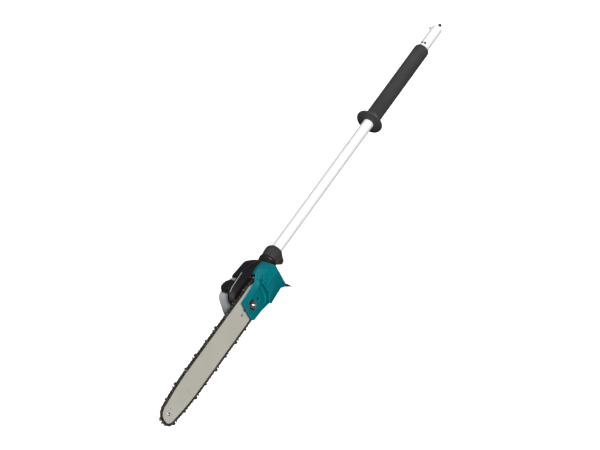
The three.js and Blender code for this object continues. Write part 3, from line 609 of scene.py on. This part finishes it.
def make_bar():
    low, high = extent("guide_bar")
    pin = middle("tension_pin")
    holes = [
        stadium(*BAR_STUD_SLOT[:2], BAR_Z, BAR_STUD_SLOT[2]),
        circle((pin.x, pin.z), 2.5, 32),
        stadium(OIL_HOLE_X - 2.2, OIL_HOLE_X + 2.2, BAR_Z - 3, 2.4),
        circle((NOSE_X - 65, BAR_Z), 1.3, 24),
        circle((NOSE_X - 9, BAR_Z + 4), 1.2, 24),
        circle((NOSE_X, BAR_Z), 3.3),
    ]
    for side, (y0, y1) in enumerate(((low.y, low.y + BAR_CHEEK), (high.y - BAR_CHEEK, high.y))):
        cheek = sheet_metal(f"bar_cheek_{side + 1}", [bar_edge(0)] + holes, y0, y1, 0.18)
        stand_in(cheek, "guide_bar")
    core_outlines = [bar_edge(-4.5)] + holes[:4]
    core = sheet_metal("bar_core", core_outlines, low.y + BAR_CHEEK, high.y - BAR_CHEEK, 0.05)
    reach = NOSE_R + 2
    tool = turned("tool", "y", [(0, low.y - 1), (reach, low.y - 1), (reach, high.y + 1), (0, high.y + 1)],
                  (NOSE_X, 0, BAR_Z))
    cut_away(core, tool)
    stand_in(core, "guide_bar")


def make_bar_rivets():
    """Flush rivets that hold the laminations: a ring round the nose sprocket and a row behind it."""
    low, high = extent("guide_bar")
    places = [(NOSE_X - 30, BAR_Z), (NOSE_X - 24, BAR_Z + 11), (NOSE_X - 24, BAR_Z - 11)]
    places += [(NOSE_X + 6.4 * math.cos(a), BAR_Z + 6.4 * math.sin(a)) for a in (0.8, 2.35, 3.93, 5.5)]
    bm = bmesh.new()
    for x, z in places:
        for face, out in ((high.y, 1), (low.y, -1)):
            profile = [(1.7, -0.15), (1.7, 0.03), (1.45, 0.1), (0.8, 0.14), (0.05, 0.15)]
            rows = rings(bm, "y", (x, 0, z), [(face + out * along, r) for r, along in profile], 32)
            bm.faces.new(rows[0])
            bm.faces.new(rows[-1])
    detail(make_object("bar_rivets", bm), "guide_bar", "bar_steel")
    low, high = extent("nose_hub")
    profile = [(0, low.y), (2.8, low.y), (3, low.y + 0.2), (3, high.y - 0.2), (2.8, high.y), (1.2, high.y),
               (0.9, high.y - 0.4), (0, high.y - 0.4)]
    stand_in(turned("nose_bearing", "y", profile, (NOSE_X, 0, BAR_Z), 48), "nose_hub", "bright_steel")


# ---- saw chain ----
def chain_path(height):
    """The loop at one height above the bar's edge, in the direction that the chain runs."""
    half = BAR_HALF + 0.3 + height
    run = [(x, z) for x, z in bar_edge(0.3 + height, TAIL_TAPER_END)]
    wrap = []
    for i in range(49):
        angle = -1.52 - i / 48 * (TAU - 3.04)
        reach = SPROCKET_WRAP + height
        wrap.append((SPINDLE_X + reach * math.cos(angle), reach * math.sin(angle)))
    return [(CHAIN_BACK, BAR_Z + half)] + run + [(CHAIN_BACK, BAR_Z - half)] + wrap


def rivet_points():
    """Evenly spaced rivets round the loop, an even number of them."""
    path = chain_path(RIVET_LINE)
    path.append(path[0])
    steps = [math.dist(a, b) for a, b in zip(path, path[1:])]
    pairs = round(sum(steps) / (2 * RIVET_SPAN))
    pitch = sum(steps) / (2 * pairs)
    points = []
    travelled = 0.0
    for (start, end), step in zip(zip(path, path[1:]), steps):
        while len(points) * pitch < travelled + step - 1e-9 and len(points) < 2 * pairs:
            share = (len(points) * pitch - travelled) / step
            points.append(Vector(start).lerp(Vector(end), share))
        travelled += step
    return points


def arc(centre, radius, start, end, count=7):
    """Points on an arc, with its angles in degrees."""
    angles = [math.radians(start + (end - start) * i / (count - 1)) for i in range(count)]
    return [(centre + radius * math.cos(a), radius * math.sin(a)) for a in angles]


HALF = RIVET_SPAN / 2
STRAP = arc(HALF, 2.7, -90, 100) + [(0, 1.6)] + arc(-HALF, 2.7, 80, 270)
DRIVE_LINK = arc(HALF, 2.5, -60, 90) + [(1.2, 2.9), (-2.6, 2.7)] + arc(-HALF, 2.5, 90, 240)
TANG = [(-2.2, -5.6), (0.6, -6.8), (1.6, -5.2)]
SHORT_TANG = [(-2.2, -2.9), (2.2, -2.9)]
CUTTER = [(-7.3, -2.3), (7.2, -2.3), (7.5, 0.4), (7.2, 4.2), (6.4, 5.0), (4.9, 5.1), (4.0, 2.0), (2.6, 1.0),
          (1.0, 1.3), (0.4, 2.6), (1.0, 5.8), (-4.6, 4.9), (-6.4, 3.2), (-7.2, 1.4)]
TOP_PLATE = [(1.2, 5.8, 1.05), (-0.8, 5.7, -0.6), (-4.2, 5.0, -0.5), (-4.9, 4.85, 1.05)]


def placer(first, second):
    """Puts (along, out, across) of a link that joins two rivets into the head."""
    middle_point = (first + second) / 2
    along = (second - first).normalized()
    out = Vector((-along.y, along.x))

    def place(u, v, w):
        spot = middle_point + along * u + out * v
        return spot.x, BAR_Y + w, spot.y

    return place


def make_chain():
    points = rivet_points()
    straps, cutters, drives, rivets = (bmesh.new() for _ in range(4))
    for index, first in enumerate(points):
        place = placer(first, points[(index + 1) % len(points)])
        if index % 2 == 0:
            on_rail = CHAIN_BACK + 12 < first.x < NOSE_X - 24
            prism(drives, DRIVE_LINK + (TANG if on_rail else SHORT_TANG), -0.62, 0.62, place)
        else:
            cutter_side = {1: 1, 5: -1}.get(index % CUTTER_REPEAT, 0)
            for side in (-1, 1):
                inner, outer = sorted((side * STRAP_INNER, side * STRAP_OUTER))
                if side == cutter_side:
                    prism(cutters, CUTTER, inner, outer, place)
                    add_top_plate(cutters, place, side)
                else:
                    prism(straps, STRAP, inner, outer, place)
        add_rivet(rivets, first)
    kinds = ((straps, "tie_straps", "dark_steel", 0.2), (drives, "drive_links", "dark_steel", 0.12),
             (cutters, "cutters", "oiled_cutters", 0.14), (rivets, "chain_rivets", "bronzed_rivets", 0))
    for bm, name, look, width in kinds:
        links = make_object(name, bm)
        if width:
            round_edges(links, width, 1, 35)
        stand_in(links, "saw_chain", look)


def add_top_plate(bm, place, side):
    """The cutter's top plate leans over the chain from its side plate."""
    top = [bm.verts.new(place(u, v, side * w * STRAP_OUTER)) for u, v, w in TOP_PLATE]
    base = [bm.verts.new(place(u, v - 0.9, side * w * STRAP_OUTER)) for u, v, w in TOP_PLATE]
    bm.faces.new(top)
    bm.faces.new(list(reversed(base)))
    for i in range(4):
        j = (i + 1) % 4
        bm.faces.new((top[i], base[i], base[j], top[j]))


def add_rivet(bm, point):
    profile = [(-2.25, 0.9), (-2.1, 1.35), (-1.9, 1.5), (1.9, 1.5), (2.1, 1.35), (2.25, 0.9)]
    rows = rings(bm, "y", (point.x, BAR_Y, point.y), profile, 16)
    bm.faces.new(rows[0])
    bm.faces.new(list(reversed(rows[-1])))


# ---- nut, stud and washer ----
def axis_place(node):
    """A point on the axis along Y of a round node."""
    return middle(node) * Vector((1, 0, 1))


def make_nut():
    low, high = extent("bar_nut")
    centre = axis_place("bar_nut")
    corner = (high.z - low.z) / math.sqrt(3)
    bm = bmesh.new()
    prism(bm, circle((centre.x, centre.z), corner, 6), low.y, high.y)
    nut = make_object("flanged_nut", bm)
    cone = [(corner * 0.93, low.y - 1), (corner * 2, low.y - 1), (corner * 2, high.y + 3),
            (corner * 0.93, high.y + 0.1), (corner * 1.04, high.y - 0.8), (corner * 1.04, low.y + 1.2),
            (corner * 0.93, low.y)]
    cut_away(nut, turned("cone", "y", cone, centre))
    bore = [(0, low.y - 1), (4.9, low.y - 1), (4.3, low.y + 0.6), (4.3, high.y - 0.6), (5, high.y + 1),
            (0, high.y + 1)]
    cut_away(nut, turned("bore", "y", bore, centre, 64))
    stand_in(nut, "bar_nut")


def make_stud():
    low, high = extent("bar_stud")
    foot = [(0, low.y), (5, low.y), (5, low.y + 3), (4, low.y + 3)]
    thread = []
    y = low.y + 4
    while y < high.y - 1.2:
        thread += [(3.98, y), (3.6, y + 0.5)]
        y += 1.0
    tip = [(3.6, high.y - 0.6), (3, high.y), (0, high.y)]
    stand_in(turned("threaded_stud", "y", foot + thread + tip, axis_place("bar_stud"), 64), "bar_stud")


def make_washer():
    low, high = extent("nut_washer")
    centre = axis_place("nut_washer")
    reach = high.z - centre.z
    profile = [(4.4, low.y), (reach - 0.2, low.y), (reach, low.y + 0.2), (reach, high.y - 0.2),
               (reach - 0.2, high.y), (4.6, high.y), (4.4, high.y - 0.2)]
    # The washer takes the dark steel look in place of its own: painted shade in the recess round the nut.
    stand_in(turned("plain_washer", "y", profile, centre), "nut_washer", "dark_steel")


def make_nut_recess_shade():
    """A black ring lines the recess round the nut: painted shade, so the recess reads dark."""
    low, high = extent("nut_washer")
    centre = axis_place("nut_washer")
    reach = high.z - centre.z
    top = low.y + 3
    profile = [(reach + 0.3, low.y - 0.2), (reach + 2.1, low.y - 0.2), (reach + 2.1, top), (reach + 1.6, top),
               (reach + 0.9, top - 1.4), (reach + 0.3, top - 2)]
    detail(turned("nut_recess_shade", "y", profile, centre), "sprocket_cover", "black_plastic", "oil_rubber")


# ---- oil tank cap ----
def make_cap():
    low, high = extent("oil_cap")
    centre = (low + high) / 2
    reach = high.x - centre.x
    skirt = high.z - 9.7

    def lobed(radius, depth):
        return lambda angle: radius - depth * (0.5 - 0.5 * math.cos(10 * angle)) ** 2

    neck = [(low.z, 7), (low.z, 9.2), (low.z + 0.3, 9.4), (skirt + 5.2, 9.4), (skirt + 5.2, 12.9)]
    flutes = [(skirt + 0.8, 12.9), (skirt, 13.6), (skirt, lobed(reach - 0.3, 1.2)),
              (skirt + 0.4, lobed(reach, 1.4)), (skirt + 6.2, lobed(reach, 1.5)),
              (skirt + 7.8, lobed(reach - 0.5, 1.3)), (skirt + 9, lobed(reach - 1.6, 0.7))]
    crown = [(high.z, reach - 3), (high.z, reach - 4.4), (high.z - 0.8, reach - 5.2), (high.z - 0.9, 3.2),
             (high.z - 0.3, 2.4), (high.z - 0.3, 0.01)]
    bm = bmesh.new()
    flat = Vector((centre.x, centre.y, 0))
    rows = rings(bm, "z", flat, neck + flutes + crown, 160)
    bm.faces.new(rows[-1])
    inside = rings(bm, "z", flat, [(low.z, 7), (skirt + 6.7, 7), (skirt + 6.7, 0.01)], 160)
    bm.faces.new(inside[-1])
    stand_in(make_object("fluted_cap", bm), "oil_cap")


# ---- silver bead between the tank and the chain housing ----
def make_bead():
    """A silver bead along the foot of the black shoulder for the tank's flange; the bright line it makes
    there is partly a painted highlight on that edge.
    """
    foot = [(139, 47.3), (160, 46.3), (183, 44.9), (189, 42)]
    curve = bpy.data.curves.new("flange_highlight_bead", "CURVE")
    curve.dimensions = "3D"
    curve.bevel_depth = 0.55 * MM
    curve.bevel_resolution = 4
    curve.use_fill_caps = True
    spline = add_spline(curve, "NURBS", [(NECK_X + x, 16, z) for x, z in foot])
    spline.use_endpoint_u = True
    spline.order_u = 3
    detail(from_curve("flange_highlight_bead", curve), "chain_housing", "tank_grey")


# ---- moulded bodies and fasteners that keep their CAD shape ----
ROUNDED = {
    "sprocket_cover": 0.7, "chain_housing": 0.6, "gear_case": 0.8, "gear_case_lid": 0.8, "oil_tank": 1.2,
    "neck_clamp": 0.8, "branch_hook": 0.4, "inner_guide_plate": 0.2, "outer_guide_plate": 0.2,
    "drive_shaft": 0.3, "clamp_screw": 0.25, "hook_screw": 0.25, "drive_sprocket": 0.25, "tension_pin": 0.2,
}


def finish_cad_nodes():
    """Every CAD node gets the look of its slot, and the bodies above get rounded edges as well."""
    for name, node in NODES.items():
        node.data.materials.clear()
        node.data.materials.append(LOOKS[SLOT_OF[name]])
    screws = [name for name in NODES if name.startswith(("lid_screw", "housing_screw"))]
    for name, width in {**ROUNDED, **dict.fromkeys(screws, 0.25)}.items():
        refined(name, f"{name}_shell", width)


bpy.context.scene.view_settings.view_transform = "Standard"
make_camera()
make_world()
make_floor()
make_light("key", "SUN", (1.2, 2.4, 1.35), (0, 0, 0), 3.6, math.radians(24))
make_light("top", "SUN", (-0.3, 0.4, 3), (0, 0, 0), 0.9, math.radians(50))
make_light("side", "AREA", (2.4, 2.4, 1.6), (0.7, 0, 0), 16, 1.0)
finish_cad_nodes()
make_tube()
make_grip()
make_guard()
make_button()
make_bar()
make_bar_rivets()
make_chain()
make_nut()
make_stud()
make_washer()
make_nut_recess_shade()
make_cap()
make_bead()
